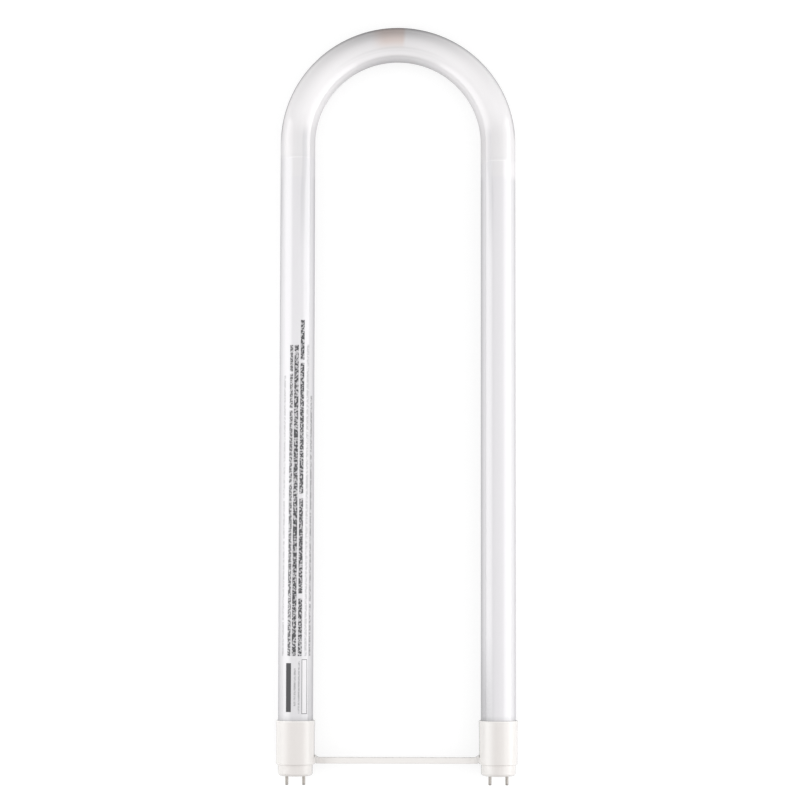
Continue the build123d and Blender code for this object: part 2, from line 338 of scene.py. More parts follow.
bridge_finish, shader, place = new_finish("moulded_epoxy", {"IOR": 1.55})
x, y, z = axes(place)
leads = fade(z, bridge_lead_top + crisp_edge, bridge_lead_top)
mould = grain(place, epoxy_scale)
feed(shader, "Base Color", blend_colours(leads, epoxy_black, tinned_grey))
feed(shader, "Metallic", leads * 0.9)
feed(shader, "Roughness", 0.6 - 0.25 * leads + 0.15 * mould)
emboss(shader, mould * (1 - leads), epoxy_depth)
dress(bridge_finish, "driver_rectifier")


# Fuse: the small cartridge fuse beside the driver's capacitor.
# A ceramic body between two pressed end caps, nickel on brass.
fuse_low, fuse_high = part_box("driver_fuse")
fuse_cap_length = 0.0018
ceramic_scale = 2600.0
ceramic_tan = (0.62, 0.53, 0.40, 1)
nickel_grey = (0.62, 0.60, 0.57, 1)

fuse_finish, shader, place = new_finish("ceramic_and_nickel", {"IOR": 1.5})
x, y, z = axes(place)
from_fuse_end = (y - fuse_low.y).maths("MINIMUM", fuse_high.y - y)
capped = fade(from_fuse_end, fuse_cap_length + crisp_edge, fuse_cap_length)
feed(shader, "Base Color", blend_colours(capped, ceramic_tan, nickel_grey))
feed(shader, "Metallic", capped * 0.95)
feed(shader, "Roughness", 0.55 - 0.25 * capped + 0.1 * grain(place, ceramic_scale))
dress(fuse_finish, "driver_fuse")


# Filament capacitor: the boxed film capacitor on the right base's board.
# Yellow polyester box filled with resin, open side down.
box_yellow = (0.66, 0.45, 0.08, 1)
box_amber = (0.55, 0.36, 0.06, 1)
box_flow_scale = 520.0
box_grain_scale = 4200.0
box_grain_depth = 0.00002

box_finish, shader, place = new_finish("capacitor_box", {"IOR": 1.5})
box_flow = grain(place, box_flow_scale, 3.0)
feed(shader, "Base Color", blend_colours(box_flow, box_yellow, box_amber))
feed(shader, "Roughness", 0.36 + 0.18 * box_flow)
emboss(shader, grain(place, box_grain_scale), box_grain_depth)
dress(box_finish, "filament_capacitor")


# Filament resistors: a pair that stands for the lamp's filaments, lying along the board.
# Ceramic rods with end cups, dipped in buff lacquer and ringed with colour bands.
resistor_low, resistor_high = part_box("filament_resistors")
band_count = 7.0
band_pitch = (resistor_high.y - resistor_low.y) / band_count
band_half = 0.18
band_blur = 0.02
band_strength = 0.85
lacquer_scale = 1800.0
lacquer_buff = (0.63, 0.48, 0.30, 1)
band_brown = (0.16, 0.06, 0.03, 1)

resistor_finish, shader, place = new_finish("resistor_lacquer", {"IOR": 1.5})
x, y, z = axes(place)
band_place = (y - resistor_low.y) / band_pitch
band = below(abs(band_place - round(band_place)), band_half, band_blur)
feed(shader, "Base Color", blend_colours(band * band_strength, lacquer_buff, band_brown))
feed(shader, "Roughness", 0.35 + 0.15 * grain(place, lacquer_scale))
dress(resistor_finish, "filament_resistors")


# Header pins: two straight pins in each base carry the current up from the board to the strip.
# Drawn brass wire, tinned, soldered at both ends.
tin_bright = (0.66, 0.65, 0.62, 1)
tin_dull = (0.47, 0.46, 0.44, 1)
tin_scale = 1400.0

header_finish, shader, place = new_finish("tinned_wire", {"Metallic": 1.0})
tin = grain(place, tin_scale, 3.0)
feed(shader, "Base Color", blend_colours(tin, tin_bright, tin_dull))
feed(shader, "Roughness", 0.25 + 0.25 * tin)
dress(header_finish, "left_header_pins", "right_header_pins")


# Bend lead: a flat twin lead joins the two strips through the bend.
# Two stranded copper cores in white vinyl, with a groove between them.
lead_low, lead_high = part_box("bend_lead")
lead_middle = (lead_low.z + lead_high.z) / 2
groove_sides = (0.00035, 0.00005)
groove_depth = 0.0001
vinyl_scale = 700.0
vinyl_white = (0.74, 0.73, 0.70, 1)
vinyl_groove = (0.52, 0.51, 0.49, 1)

lead_finish, shader, place = new_finish("twin_lead_vinyl", {"IOR": 1.53})
x, y, z = axes(place)
groove = fade(abs(z - lead_middle), *groove_sides)
feed(shader, "Base Color", blend_colours(groove, vinyl_white, vinyl_groove))
feed(shader, "Roughness", 0.42 + 0.12 * grain(place, vinyl_scale))
emboss(shader, 1 - groove, groove_depth)
dress(lead_finish, "bend_lead")


# Bend tape: a short patch on the inside of the glass at the top of the bend, with the lead under it.
# Amber polyimide film with a silicone adhesive, pressed on by hand.
tape_amber = (0.58, 0.30, 0.06, 1)
tape_deep = (0.46, 0.21, 0.03, 1)
crease_scale = 180.0
crease_depth = 0.00015

tape_finish, shader, place = new_finish("amber_film", {"IOR": 1.6})
crease = grain(place, crease_scale, 5.0)
feed(shader, "Base Color", blend_colours(crease, tape_amber, tape_deep))
feed(shader, "Roughness", 0.15 + 0.2 * crease)
emboss(shader, crease, crease_depth)
dress(tape_finish, "bend_tape")


# Glass tube: one soda-lime tube, coated white inside and bent into a U while hot.
# Its outside is smooth and glossy, and its cut ends are fire-polished where the bases hold them.
tube_low, tube_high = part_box("glass_tube")
tube_radius = (tube_high.z - tube_low.z) / 2
tube_axis = (tube_high.z + tube_low.z) / 2
leg_reach = tube_high.x - tube_radius
bend_start = tube_high.y - leg_reach - tube_radius
glass_wall = 0.0009
sides_round = 96
steps_along_leg = 24
steps_along_bend = 120


def split(geometry, kind):
    """The vertices, edges or faces of an operator's result."""
    return [item for item in geometry if isinstance(item, kind)]


def new_piece(name, mesh_under_work, finish, slot, *nodes):
    """Makes the object, smooth and at the origin, in place of the CAD nodes that it stands for."""
    for face in mesh_under_work.faces:
        face.smooth = True
    mesh = bpy.data.meshes.new(name)
    mesh_under_work.to_mesh(mesh)
    mesh_under_work.free()
    mesh.materials.append(finish)
    piece = bpy.data.objects.new(name, mesh)
    bpy.context.scene.collection.objects.link(piece)
    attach(piece, "root")
    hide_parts(*nodes)
    return piece


def draw_leg(tube, ring, step):
    """Draws a ring of edges along the leg and gives the ring at its far end."""
    for _ in range(steps_along_leg):
        drawn = bmesh.ops.extrude_edge_only(tube, edges=ring)["geom"]
        drawn_verts = split(drawn, bmesh.types.BMVert)
        drawn_edges = split(drawn, bmesh.types.BMEdge)
        bmesh.ops.translate(tube, verts=drawn_verts, vec=(0, step, 0))
        ring = [edge for edge in drawn_edges if set(edge.verts).issubset(drawn_verts)]
    return ring


tube = bmesh.new()
left_end = Matrix.Translation((-leg_reach, tube_low.y, tube_axis)) @ Matrix.Rotation(math.pi / 2, 4, "X")
bmesh.ops.create_circle(tube, segments=sides_round, radius=tube_radius, matrix=left_end)
leg_step = (bend_start - tube_low.y) / steps_along_leg
ring = draw_leg(tube, tube.edges[:], leg_step)
ring_verts = list({vert for edge in ring for vert in edge.verts})
bent = bmesh.ops.spin(
    tube,
    geom=ring + ring_verts,
    cent=(0, bend_start, tube_axis),
    axis=(0, 0, 1),
    angle=-math.pi,
    steps=steps_along_bend,
)
draw_leg(tube, split(bent["geom_last"], bmesh.types.BMEdge), -leg_step)
bmesh.ops.recalc_face_normals(tube, faces=tube.faces[:])

# Places on the tube are told by how far they lie out from the U of its axis, up from its level, past
# the start of the bend, round the bend from its top, and up the leg from the sleeve's rim.
sleeve_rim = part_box("leg_bracket")[1].y
left_side = (-0.02, -0.03)
into_bend = 0.01

glass_finish, shader, place = new_finish("frosted_glass", {"Specular IOR Level": 0.0})
x, y, z = axes(place)
past_start = y - bend_start
on_arc = past_start.maths("MAXIMUM", 0.0)
out = (x * x + on_arc * on_arc).maths("SQRT") - leg_reach
up = z - tube_axis
round_bend = x.maths("ARCTAN2", on_arc) * leg_reach
up_leg = y - sleeve_rim
on_left_leg = fade(x, *left_side)
on_bend = fade(past_start, 0.0, into_bend)

# The bend is the whitest. The legs are duller from the film's end down, which is sharp over the strip
# and blurred beside it, and the necks of the bend get painted shade, lighter at their sides where
# highlights fall.
bend_white = (0.930, 0.913, 0.922, 1)
neck_painted_shade = (0.834, 0.819, 0.827, 1)
behind_film = (0.866, 0.855, 0.872, 1)
strip_shift = 0.0006
right_film_lower = 0.0023
film_wander = 0.0020
film_wander_scale = 55.0
film_sharp = 0.0003
film_soft = 0.0030
film_softens = (0.0050, 0.0075)
neck_front = (0.0085, 0.0050)
neck_inside = (-0.0092, -0.0105)
neck_run = (0.026, 0.003)
neck_least = 0.35
from_strip = abs(out + strip_shift)
past_film = y - film_end + right_film_lower * (1 - on_left_leg)
past_film = past_film - film_wander * (grain(place, film_wander_scale, 1.0) - 0.5)
film_blur = film_sharp + film_soft * fade(from_strip, *film_softens)
on_leg = fade(past_film, film_blur, -film_blur)
# Painted shade over the top and inner edge of each neck, weaker at its sides.
neck_shade_mask = fade(abs(out), *neck_front) + fade(out, *neck_inside)
neck_shade_mask = (neck_least + (1 - neck_least) * neck_shade_mask) * fade(on_arc, *neck_run)
colour = blend_colours(neck_shade_mask, bend_white, neck_painted_shade)
colour = blend_colours(on_leg, colour, behind_film)

# The strip shows as a soft grey band on the front of each leg, a little paler past its end.
behind_strip = (0.806, 0.793, 0.813, 1)
past_strip = (0.822, 0.808, 0.818, 1)
strip_blur = 0.0011
strip_shade_half = strip_half_width - 0.0004
strip_seen_end = strip_high.y - 0.003
strip_end_blur = 0.001
strip_front = (0.0, 0.004)
over_strip = below(from_strip, strip_shade_half, strip_blur) * fade(up, *strip_front)
strip_tone = blend_colours(below(y, strip_seen_end, strip_end_blur), past_strip, behind_strip)
colour = blend_colours(over_strip * on_leg, colour, strip_tone)

# The film's end itself is a bright line with a faint shade above it.
painted_dark_grey = (0.548, 0.537, 0.546, 1)
film_line_width = 0.0006
film_line_inward = 0.0016
film_line_reach = (0.0082, 0.0070)
film_line_strength = 0.7
film_shade_width = 0.0012
film_shade_reach = (0.0058, 0.0048)
film_shade_strength = 0.04
film_light = fade(abs(past_film + film_line_width), film_line_width, film_line_width / 3)
film_light = film_light * fade(abs(out + film_line_inward), *film_line_reach)
film_dark = fade(abs(past_film - film_shade_width), film_shade_width, film_shade_width / 4)
film_dark = film_dark * fade(from_strip, *film_shade_reach)
colour = blend_colours(film_dark * film_shade_strength, colour, painted_dark_grey)
colour = blend_colours(film_light * film_line_strength, colour, bend_white)

# Towards its sides the coat is painted grey as shade, most along the strips. A painted highlight keeps the
# right leg's outer side bright between the strip's end and the film's.
painted_shade_grey = (0.632, 0.626, 0.646, 1)
joint_run = (0.003, -0.004)
near_bend_legs = (-0.0975, -0.0325)
near_bend_arc = (0.015, 0.003)
shoulder_run = (0.060, 0.020)
side_turn = (0.0095, 0.002)
left_side_turn = (0.009, 0.007)
shoulder_turn = (0.005, 0.002)
outer_half = (0.0, 0.004)
right_highlight_run = (0.002, 0.007)
bend_greys = 0.35
shoulder_greys_less = 0.15
leg_greys_more = 0.25
lower_leg_greys_more = 0.4
left_leg_greys = 0.25
shoulder_greys = 0.30
right_highlight_strength = 0.7
below_joint = fade(y - strip_seen_end, *joint_run)
near_bend = fade(past_start, *near_bend_legs) * fade(on_arc, *near_bend_arc)
shoulder = fade(on_arc, *shoulder_run) * (1 - on_leg)
# Painted shade that greys the tube towards its sides.
painted_side_shade = bend_greys - shoulder_greys_less * shoulder + leg_greys_more * on_leg
painted_side_shade = (painted_side_shade + lower_leg_greys_more * below_joint) * fade(up, *side_turn)
painted_outer_shade = left_leg_greys * near_bend * on_left_leg * fade(up, *left_side_turn)
painted_outer_shade = painted_outer_shade + shoulder_greys * shoulder * fade(up, *shoulder_turn)
painted_side_shade = painted_side_shade + painted_outer_shade * fade(out, *outer_half)
# Painted highlight on the right leg's outer side near the bend.
painted_right_highlight = on_leg * (1 - below_joint) * (1 - on_left_leg) * fade(out, *right_highlight_run)
colour = blend_colours(painted_right_highlight, colour, bend_white)
colour = blend_colours(painted_side_shade * (1 - right_highlight_strength * painted_right_highlight), colour, painted_shade_grey)

# Below the bend painted shade runs in a stripe along the inner side of each leg, beside the strip, and over
# the inner half of the left leg.
stripe_inward = 0.0057
left_stripe_outward = 0.0014
upper_stripe_inward = 0.0012
upper_stripe_run = (-0.0425, -0.0125)
stripe_sides = (0.0025, 0.0008)
stripe_shade_strength = 0.42
left_inner_half = (0.004, -0.003)
left_inner_painted_shade = 0.14
stripe_place = stripe_inward - left_stripe_outward * on_left_leg
stripe_place = stripe_place + upper_stripe_inward * fade(past_start, *upper_stripe_run)
# Painted shade in a stripe beside each strip, and over the left leg's inner half.
inner_painted_shade = stripe_shade_strength * fade(abs(out + stripe_place), *stripe_sides)
inner_painted_shade = inner_painted_shade + left_inner_painted_shade * on_left_leg * fade(out, *left_inner_half)
colour = blend_colours(inner_painted_shade * near_bend, colour, painted_shade_grey)

# At the top of the bend the coat is painted grey as shade, with two thin painted dark lines where
# reflections end. A zone has its strength and where it starts and ends; a line has its strength, place and
# half width.
top_shade_middle = -0.005
top_shade_reach = 0.066
top_shade_least = 0.05
top_shade_zones = [
    (0.55, -0.0085, -0.0105),
    (0.32, -0.0084, -0.0042),
    (0.24, 0.002, 0.007),
    (0.50, 0.006, 0.011),
]
top_shade_lines = [
    (0.13, -0.0040, 0.0012),
    (0.07, -0.0063, 0.0009),
]
top_painted_shade = top_shade_least
for strength, start, end in top_shade_zones:
    top_painted_shade = top_painted_shade + strength * fade(out, start, end)
for strength, line_place, half_width in top_shade_lines:
    top_painted_shade = top_painted_shade + strength * fade(abs(out - line_place), half_width, 0.0)
# Painted shade and painted reflection lines over the top of the bend.
at_top = on_bend * fade(abs(round_bend - top_shade_middle), top_shade_reach, 0.0)
colour = blend_colours(at_top * top_painted_shade, colour, painted_dark_grey)

# The outer edge of the bend is painted dark as shade, in a broad run at the top and a thin line down both
# shoulders.
rim_painted_shade = (0.200, 0.200, 0.205, 1)
rim_reach = 0.1
rim_top_run = (0.0095, tube_radius)
rim_top_strength = 0.8
rim_line_run = (0.0112, 0.0128)
rim_line_strength = 0.45
near_top = fade(abs(round_bend), rim_reach, 0.0)
outer_rim_shade = rim_top_strength * near_top * fade(out, *rim_top_run)
outer_rim_shade = outer_rim_shade + rim_line_strength * (1 - near_top) * fade(out, *rim_line_run)
colour = blend_colours(outer_rim_shade * on_bend, colour, rim_painted_shade)

# The tape tints the coat over it, sharply at its right end and softly at its left one.
tape_tint = (0.935, 0.835, 0.790, 1)
tape_left, tape_left_blur = -0.0150, 0.0065
tape_right, tape_right_blur = 0.0045, 0.0018
tape_inner_edge = (-0.0065, 0.002)
tape_under_edge = (-0.006, 0.002)
over_tape = above(round_bend, tape_left, tape_left_blur) * below(round_bend, tape_right, tape_right_blur)
over_tape = over_tape * fade(out, *tape_inner_edge) * fade(up, *tape_under_edge) * on_bend
colour = blend_colours(over_tape, colour, tape_tint, "MULTIPLY")

# The LEDs face down and show as a row of warm spots on the underside of each leg.
behind_led = (0.840, 0.800, 0.655, 1)
spot_along = (0.0036, 0.0008)
spot_across = (0.0055, 0.0010)
spot_underside = (-0.004, -0.010)
spot_row_end = 0.003
spot_strength = 0.55
led_spots = fade(from_nearest_led(y), *spot_along) * fade(abs(out), *spot_across)
led_spots = led_spots * fade(up, *spot_underside)
led_spots = led_spots * fade(y, leds_low.y - spot_row_end, leds_low.y)
led_spots = led_spots * fade(y, leds_high.y + spot_row_end, leds_high.y)
colour = blend_colours(led_spots * spot_strength, colour, behind_led)

# Near the bases the board inside darkens the left leg's coat, painted shade darkens the inner side of each
# leg, most on the right one, both mottled, and a painted shadow runs along the sleeve's rim.
board_and_shade_grey = (0.560, 0.558, 0.570, 1)
mottle_scale = 620.0
board_run = (0.08, -0.006)
board_inner_side = (-0.002, -0.009)
left_board_darkens = 0.24
right_inner_darkens = 0.62
left_inner_darkens = 0.20
sleeve_shadow_run = 0.0045
sleeve_shadow_strength = 0.45
inner_darkens = right_inner_darkens + (left_inner_darkens - right_inner_darkens) * on_left_leg
board_and_painted_shade = left_board_darkens * on_left_leg + inner_darkens * fade(out, *board_inner_side)
board_and_painted_shade = board_and_painted_shade * fade(up_leg, *board_run) * (0.7 + 0.6 * grain(place, mottle_scale, 3.0))
# Painted shadow just above the sleeve's rim.
sleeve_painted_shadow = sleeve_shadow_strength * fade(up_leg, sleeve_shadow_run, 0.0)
colour = blend_colours(board_and_painted_shade + sleeve_painted_shadow, colour, board_and_shade_grey)

# The print on the left leg is rows of plain broken bars, a blank outlined field and a solid bar.
# A row has its place round the leg, half its height, its two ends up the leg and its strength.
ink_grey = (0.075, 0.075, 0.080, 1)
print_slant = 0.0055
print_unslanted = 0.2026
rows_start = 0.0483
printed_rows = [
    (-0.0096, 0.0009, rows_start, 0.2586, 0.28),
    (-0.0040, 0.0012, rows_start, 0.2816, 0.85),
    (-0.0002, 0.0016, rows_start, 0.2816, 0.96),
    (0.0043, 0.0015, rows_start, 0.3006, 0.96),
    (0.0090, 0.0011, rows_start, 0.2826, 0.32),
    (0.0131, 0.0010, rows_start, 0.2436, 0.55),
    (0.0007, 0.0007, 0.0111, 0.0391, 0.45),
    (0.0038, 0.0006, 0.0056, 0.0446, 0.45),
]
row_blur = 0.0002
row_noise_apart = 4000
bars_to_a_metre = 120.0
bar_ends = (0.30, 0.35)
specks_to_a_metre = 700.0
speck_edge = (0.36, 0.56)
speck_least = 0.30
field_low, field_high = 0.0054, 0.0456
field_middle = 0.0073
field_half_height = 0.0021
field_line = 0.0003
field_line_strength = 0.85
field_fill = 0.3
block_low, block_high = 0.0066, 0.0430
block_middle = -0.0051
block_half_height = 0.0020
block_strength = 0.95
print_front = (0.0, 0.0005)
around = (-out).maths("ARCTAN2", up) * tube_radius
across_rows = around - print_slant * (up_leg - print_unslanted)
specks = fade(grain(place, specks_to_a_metre, 1.0), *speck_edge)
speckled = speck_least + (1 - speck_least) * specks
ink = 0.0
for row_place, half_height, row_low, row_high, strength in printed_rows:
    in_row = below(abs(across_rows - row_place), half_height, row_blur)
    in_row = in_row * above(up_leg, row_low, crisp_edge) * below(up_leg, row_high, crisp_edge)
    along_row = {"X": row_place * row_noise_apart, "Y": y * bars_to_a_metre}
    bars = fade(grain(place.node("ShaderNodeCombineXYZ", {}, along_row), 1.0, 1.0), *bar_ends)
    ink = ink + strength * in_row * bars * speckled


def inside_rectangle(low, high, middle, half_height):
    """Distance inwards from the edge of a printed rectangle on the leg."""
    from_ends = (up_leg - low).maths("MINIMUM", high - up_leg)
    return from_ends.maths("MINIMUM", half_height - abs(around - middle))


printed_side = on_left_leg * fade(up, *print_front)
inside_field = inside_rectangle(field_low, field_high, field_middle, field_half_height)
inside_block = inside_rectangle(block_low, block_high, block_middle, block_half_height)
in_field = above(inside_field, 0.0, crisp_edge) * printed_side
colour = blend_colours(in_field * field_fill, colour, bend_white)
ink = ink + field_line_strength * fade(abs(inside_field), field_line, field_line / 2)
ink = ink + block_strength * above(inside_block, 0.0, crisp_edge)
ink = ink * printed_side

# Over the coat the clear glass mirrors the room a little. Its surface waves where it was drawn, with a
# faint ridge over the film's end.
glass_mirror = 0.13
gloss_scale = 90.0
wave_scale = 38.0
wave_depth = 0.00017
wave_share = 0.6
joint_ridge_half = 0.0016
joint_ridge = fade(abs(past_film), joint_ridge_half, 0.0)
waves = wave_share * grain(place, wave_scale, 1.0) + (1 - wave_share) * joint_ridge
feed(shader, "Base Color", blend_colours(ink, colour, ink_grey))
feed(shader, "Metallic", glass_mirror * (1 - ink))
feed(shader, "Roughness", 0.09 + 0.06 * grain(place, gloss_scale))
emboss(shader, waves, wave_depth)

glass = new_piece("glass_envelope", tube, glass_finish, "frosted_glass", "glass_tube")
wall = glass.modifiers.new("wall", "SOLIDIFY")
wall.thickness = glass_wall
wall.offset = -1
polish = glass.modifiers.new("fire_polish", "BEVEL")
polish.width = glass_wall / 3
polish.segments = 2
polish.limit_method = "ANGLE"
polish.angle_limit = math.radians(60)


# Base caps: a cup on the end of each leg holds the board and carries the two pins.
# White moulded polycarbonate with a fine spark-eroded surface, its neck glued inside the glass.
moulding_white = (0.965, 0.939, 0.914, 1)
moulding_painted_shade = (0.785, 0.748, 0.725, 1)
edge_painted_shade = (0.46, 0.46, 0.45, 1)
flow_scale = 70.0
flow_dulls = 0.1
eroded_scale = 2600.0
eroded_depth = 0.00006
parting_sides = (0.00022, 0.00006)
parting_dulls = 0.05

# The mouldings get painted shade along their crowns and on the bar, most on the left, with a painted shadow
# on the bar by each sleeve, painted grey shade at their sides and painted highlights along the edges they
# are given.
left_of_middle = (0.02, -0.02)
crown_half = 0.0085
outer_crown_more = 0.0020
left_crown_more = 0.0040
outside_crown = (-0.002, 0.002)
crown_run = (1.0, 0.18)
crown_shade_strength = 0.85
left_crown_shade_more = 0.20
left_inner_run = (-0.003, -0.006)
left_edge_run = (-0.0095, -0.0130)
left_inner_painted_shade = 0.2
right_outer_run = (0.004, 0.007)
right_outer_shade = 0.25
bar_run = (-0.016, -0.018)
bar_shade = 0.35
near_sleeve_run = (-0.030, -0.016)
near_sleeve_shadow = 0.08
near_left_sleeve_shadow = 0.55
highlight_edge_run = (0.0004, 0.0012)
on_wall_run = (0.0112, 0.0122)
turned_run = (0.0048, 0.0008)
edge_shade_strength = 0.55
inner_side_run = (0.0, -0.010)
inner_edge_shade_more = 0.40


def moulded_white(name, *painted_highlight_edges):
    """White moulding with flow marks, an eroded surface, a parting line, and painted shade and highlights.
    """
    finish, shader, place = new_finish(name, {"IOR": 1.53, "Specular IOR Level": 0.85})
    x, y, z = axes(place)
    out = abs(x) - leg_reach
    up = z - tube_axis
    left = fade(x, *left_of_middle)
    flow_marks = grain(place, flow_scale, 4.0)
    eroded = grain(place, eroded_scale)
    parting = fade(abs(up), *parting_sides)

    # Painted shade along the crown and sides and on the bar, and painted shadow on the bar by each sleeve.
    crown_width = crown_half + outer_crown_more * fade(out, *outside_crown) + left_crown_more * left
    shade_and_marks = fade(abs(out) / crown_width, *crown_run) * (crown_shade_strength + left_crown_shade_more * left)
    left_inside = fade(out, *left_inner_run) + fade(out, *left_edge_run)
    shade_and_marks = shade_and_marks + left_inner_painted_shade * left * left_inside
    shade_and_marks = shade_and_marks + right_outer_shade * (1 - left) * fade(out, *right_outer_run)
    on_bar = fade(out, *bar_run)
    near_sleeve_painted_shadow = fade(out, *near_sleeve_run) * (near_sleeve_shadow + near_left_sleeve_shadow * left)
    shade_and_marks = shade_and_marks * (1 - on_bar) + on_bar * (bar_shade + near_sleeve_painted_shadow)
    # Painted highlights lighten the given edges.
    for edge in painted_highlight_edges:
        shade_and_marks = shade_and_marks * fade(abs(y - edge), *highlight_edge_run)
    shade_and_marks = shade_and_marks + flow_dulls * flow_marks + parting_dulls * parting

    # Painted shade greys the walls at their sides, more on their inner side.
    on_wall = fade((out * out + up * up).maths("SQRT"), *on_wall_run) * (1 - on_bar)
    painted_edge_shade = edge_shade_strength + inner_edge_shade_more * fade(out, *inner_side_run)
    painted_edge_shade = painted_edge_shade * fade(up, *turned_run) * on_wall
    colour = blend_colours(shade_and_marks, moulding_white, moulding_painted_shade)
    feed(shader, "Base Color", blend_colours(painted_edge_shade, colour, edge_painted_shade))
    feed(shader, "Roughness", 0.20 + 0.10 * eroded)
    emboss(shader, eroded * 0.5 + parting * 0.5, eroded_depth)
    return finish


# The caps take the mouldings' painted shade.
dress(moulded_white("cap_moulding"), "left_base_cap", "right_base_cap")


# Contact pins: two in each base push into the lamp holder.
# Turned brass with dull nickel plating, moulded into the end wall.
pin_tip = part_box("left_outer_pin")[0].y
darker_tip_run = (0.0016, 0.0004)
tool_pitch = 0.00035
tool_depth = 0.00001
tarnish_scale = 900.0
plate_light = (0.47, 0.44, 0.41, 1)
plate_dark = (0.27, 0.25, 0.235, 1)

pin_finish, shader, place = new_finish("nickel_plate", {"Metallic": 1.0})
x, y, z = axes(place)
tool_marks = ridges(y, tool_pitch)
tarnish = grain(place, tarnish_scale, 3.0)
# The plating is darker towards each pin's tip.
darker_tip = fade(y - pin_tip, *darker_tip_run)
feed(shader, "Base Color", blend_colours(tarnish * 0.5 + darker_tip * 0.5, plate_light, plate_dark))
feed(shader, "Roughness", 0.30 + 0.15 * tarnish)
emboss(shader, tool_marks, tool_depth)
dress(pin_finish, "left_outer_pin", "left_inner_pin", "right_inner_pin", "right_outer_pin")


# Sleeve bonds: a ring in each sleeve takes up the gap to the glass.
# The same white silicone as the beads, run in from the rim.
dress(silicone_finish, "left_sleeve_bond", "right_sleeve_bond")


# Leg bracket: one moulding with a sleeve round each leg end and a bar that keeps the legs apart.
# White moulded polycarbonate with a beaded rim, pushed on over the bases and bonded.
bracket_low, bracket_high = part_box("leg_bracket")
bead_radius = (bracket_high.z - bracket_low.z) / 2
bead_height = 0.0002
bead_length = 0.0043
bead_slope = 0.0007
bond_gap = 0.00035
sleeve_radius = bead_radius - bead_height
sleeve_bore = tube_radius + bond_gap
sleeve_mid_wall = (sleeve_bore + sleeve_radius) / 2
lip_bore = 0.01315
lip_length = 0.003
bar_inset = 0.0006
bar_width = 0.0046
bar_low = bracket_low.y + bar_inset
bar_high = bar_low + bar_width
bar_middle = (bar_low + bar_high) / 2
bar_depth = 0.007
bar_edge = 0.0009
flare = 0.003
sleeve_sides = 60
sides_under_bar = 5
half_side = math.pi / sleeve_sides
bar_half_angle = sides_under_bar * half_side
merge_distance = 0.00001
sleeve_centre = Vector((-leg_reach, 0, tube_axis))

# The rounding that finishes the bracket pulls its rings in, so they are drawn that much larger.
swell = 3 / (2 + math.cos(2 * half_side))
section = [
    (sleeve_radius, bracket_low.y),
    (sleeve_radius, bracket_high.y),
    (sleeve_bore, bracket_high.y),
    (sleeve_bore, bracket_low.y + lip_length),
    (lip_bore, bracket_low.y + lip_length),
    (lip_bore, bracket_low.y),
]
bracket = bmesh.new()
first_side = Vector((math.cos(half_side), 0, math.sin(half_side))) * swell
corners = [bracket.verts.new(sleeve_centre + first_side * r + Vector((0, y, 0))) for r, y in section]
wall_edges = [bracket.edges.new(pair) for pair in zip(corners, corners[1:] + corners[:1])]
bmesh.ops.spin(
    bracket,
    geom=wall_edges + corners,
    cent=sleeve_centre,
    axis=(0, 1, 0),
    angle=2 * math.pi,
    steps=sleeve_sides,
    use_merge=True,
)
cuts = [
    bar_low,
    bar_low + bar_edge,
    bar_high - bar_edge,
    bar_high,
    bar_high + flare,
    bracket_high.y - bead_length - bead_slope,
    bracket_high.y - bead_length,
    bracket_high.y - bead_slope,
]
for cut in cuts:
    everything = bracket.verts[:] + bracket.edges[:] + bracket.faces[:]
    bmesh.ops.bisect_plane(bracket, geom=everything, plane_co=(0, cut, 0), plane_no=(0, 1, 0))


def on_outside(point):
    """Whether a point lies on the outside of the sleeve and not in its bore."""
    from_axis = math.hypot(point.x - sleeve_centre.x, point.z - sleeve_centre.z)
    return from_axis > sleeve_mid_wall


bead_start = bracket_high.y - bead_length - bead_slope / 2
bead = [vert for vert in bracket.verts if vert.co.y > bead_start and on_outside(vert.co)]
bead_growth = bead_radius / sleeve_radius
bmesh.ops.scale(
    bracket,
    vec=(bead_growth, 1, bead_growth),
    space=Matrix.Translation(-sleeve_centre),
    verts=bead,
)

# The bar is drawn out of the sleeve's side, wide and a little higher where it flares into the sleeve.
# A station has its place across the lamp, its width in bar widths and its lift.
bar_end = []
for face in bracket.faces:
    middle = face.calc_center_median()
    angle = math.atan2(middle.z - sleeve_centre.z, middle.x - sleeve_centre.x)
    if on_outside(middle) and abs(angle) < bar_half_angle and bar_low < middle.y < bar_high:
        bar_end.append(face)
bar_root = sleeve_centre.x + bead_radius
bar_stations = [
    (bar_root + flare * 0.1, 1.30, 0.0012),
    (bar_root + flare * 0.45, 1.12, 0.0003),
    (bar_root + flare, 1.0, 0.0),
    (bar_root + flare * 2, 1.0, 0.0),
    (0.0, 1.0, 0.0),
]
half_depth_now = sleeve_radius * math.sin(bar_half_angle)
width_now = 1.0
lift_now = 0.0
for station, width, lift in bar_stations:
    extruded = bmesh.ops.extrude_face_region(bracket, geom=bar_end)["geom"]
    bar_end = split(extruded, bmesh.types.BMFace)
    end_verts = split(extruded, bmesh.types.BMVert)
    bmesh.ops.scale(
        bracket,
        vec=(0, width / width_now, bar_depth / 2 / half_depth_now),
        space=Matrix.Translation((-station, -bar_middle - lift_now, -tube_axis)),
        verts=end_verts,
    )
    bmesh.ops.translate(bracket, vec=(0, lift - lift_now, 0), verts=end_verts)
    half_depth_now = bar_depth / 2
    width_now = width
    lift_now = lift
bmesh.ops.delete(bracket, geom=bar_end, context="FACES_ONLY")
everything = bracket.verts[:] + bracket.edges[:] + bracket.faces[:]
bmesh.ops.mirror(bracket, geom=everything, axis="X", merge_dist=merge_distance)
bmesh.ops.remove_doubles(bracket, verts=bracket.verts[:], dist=merge_distance)
bmesh.ops.recalc_face_normals(bracket, faces=bracket.faces[:])

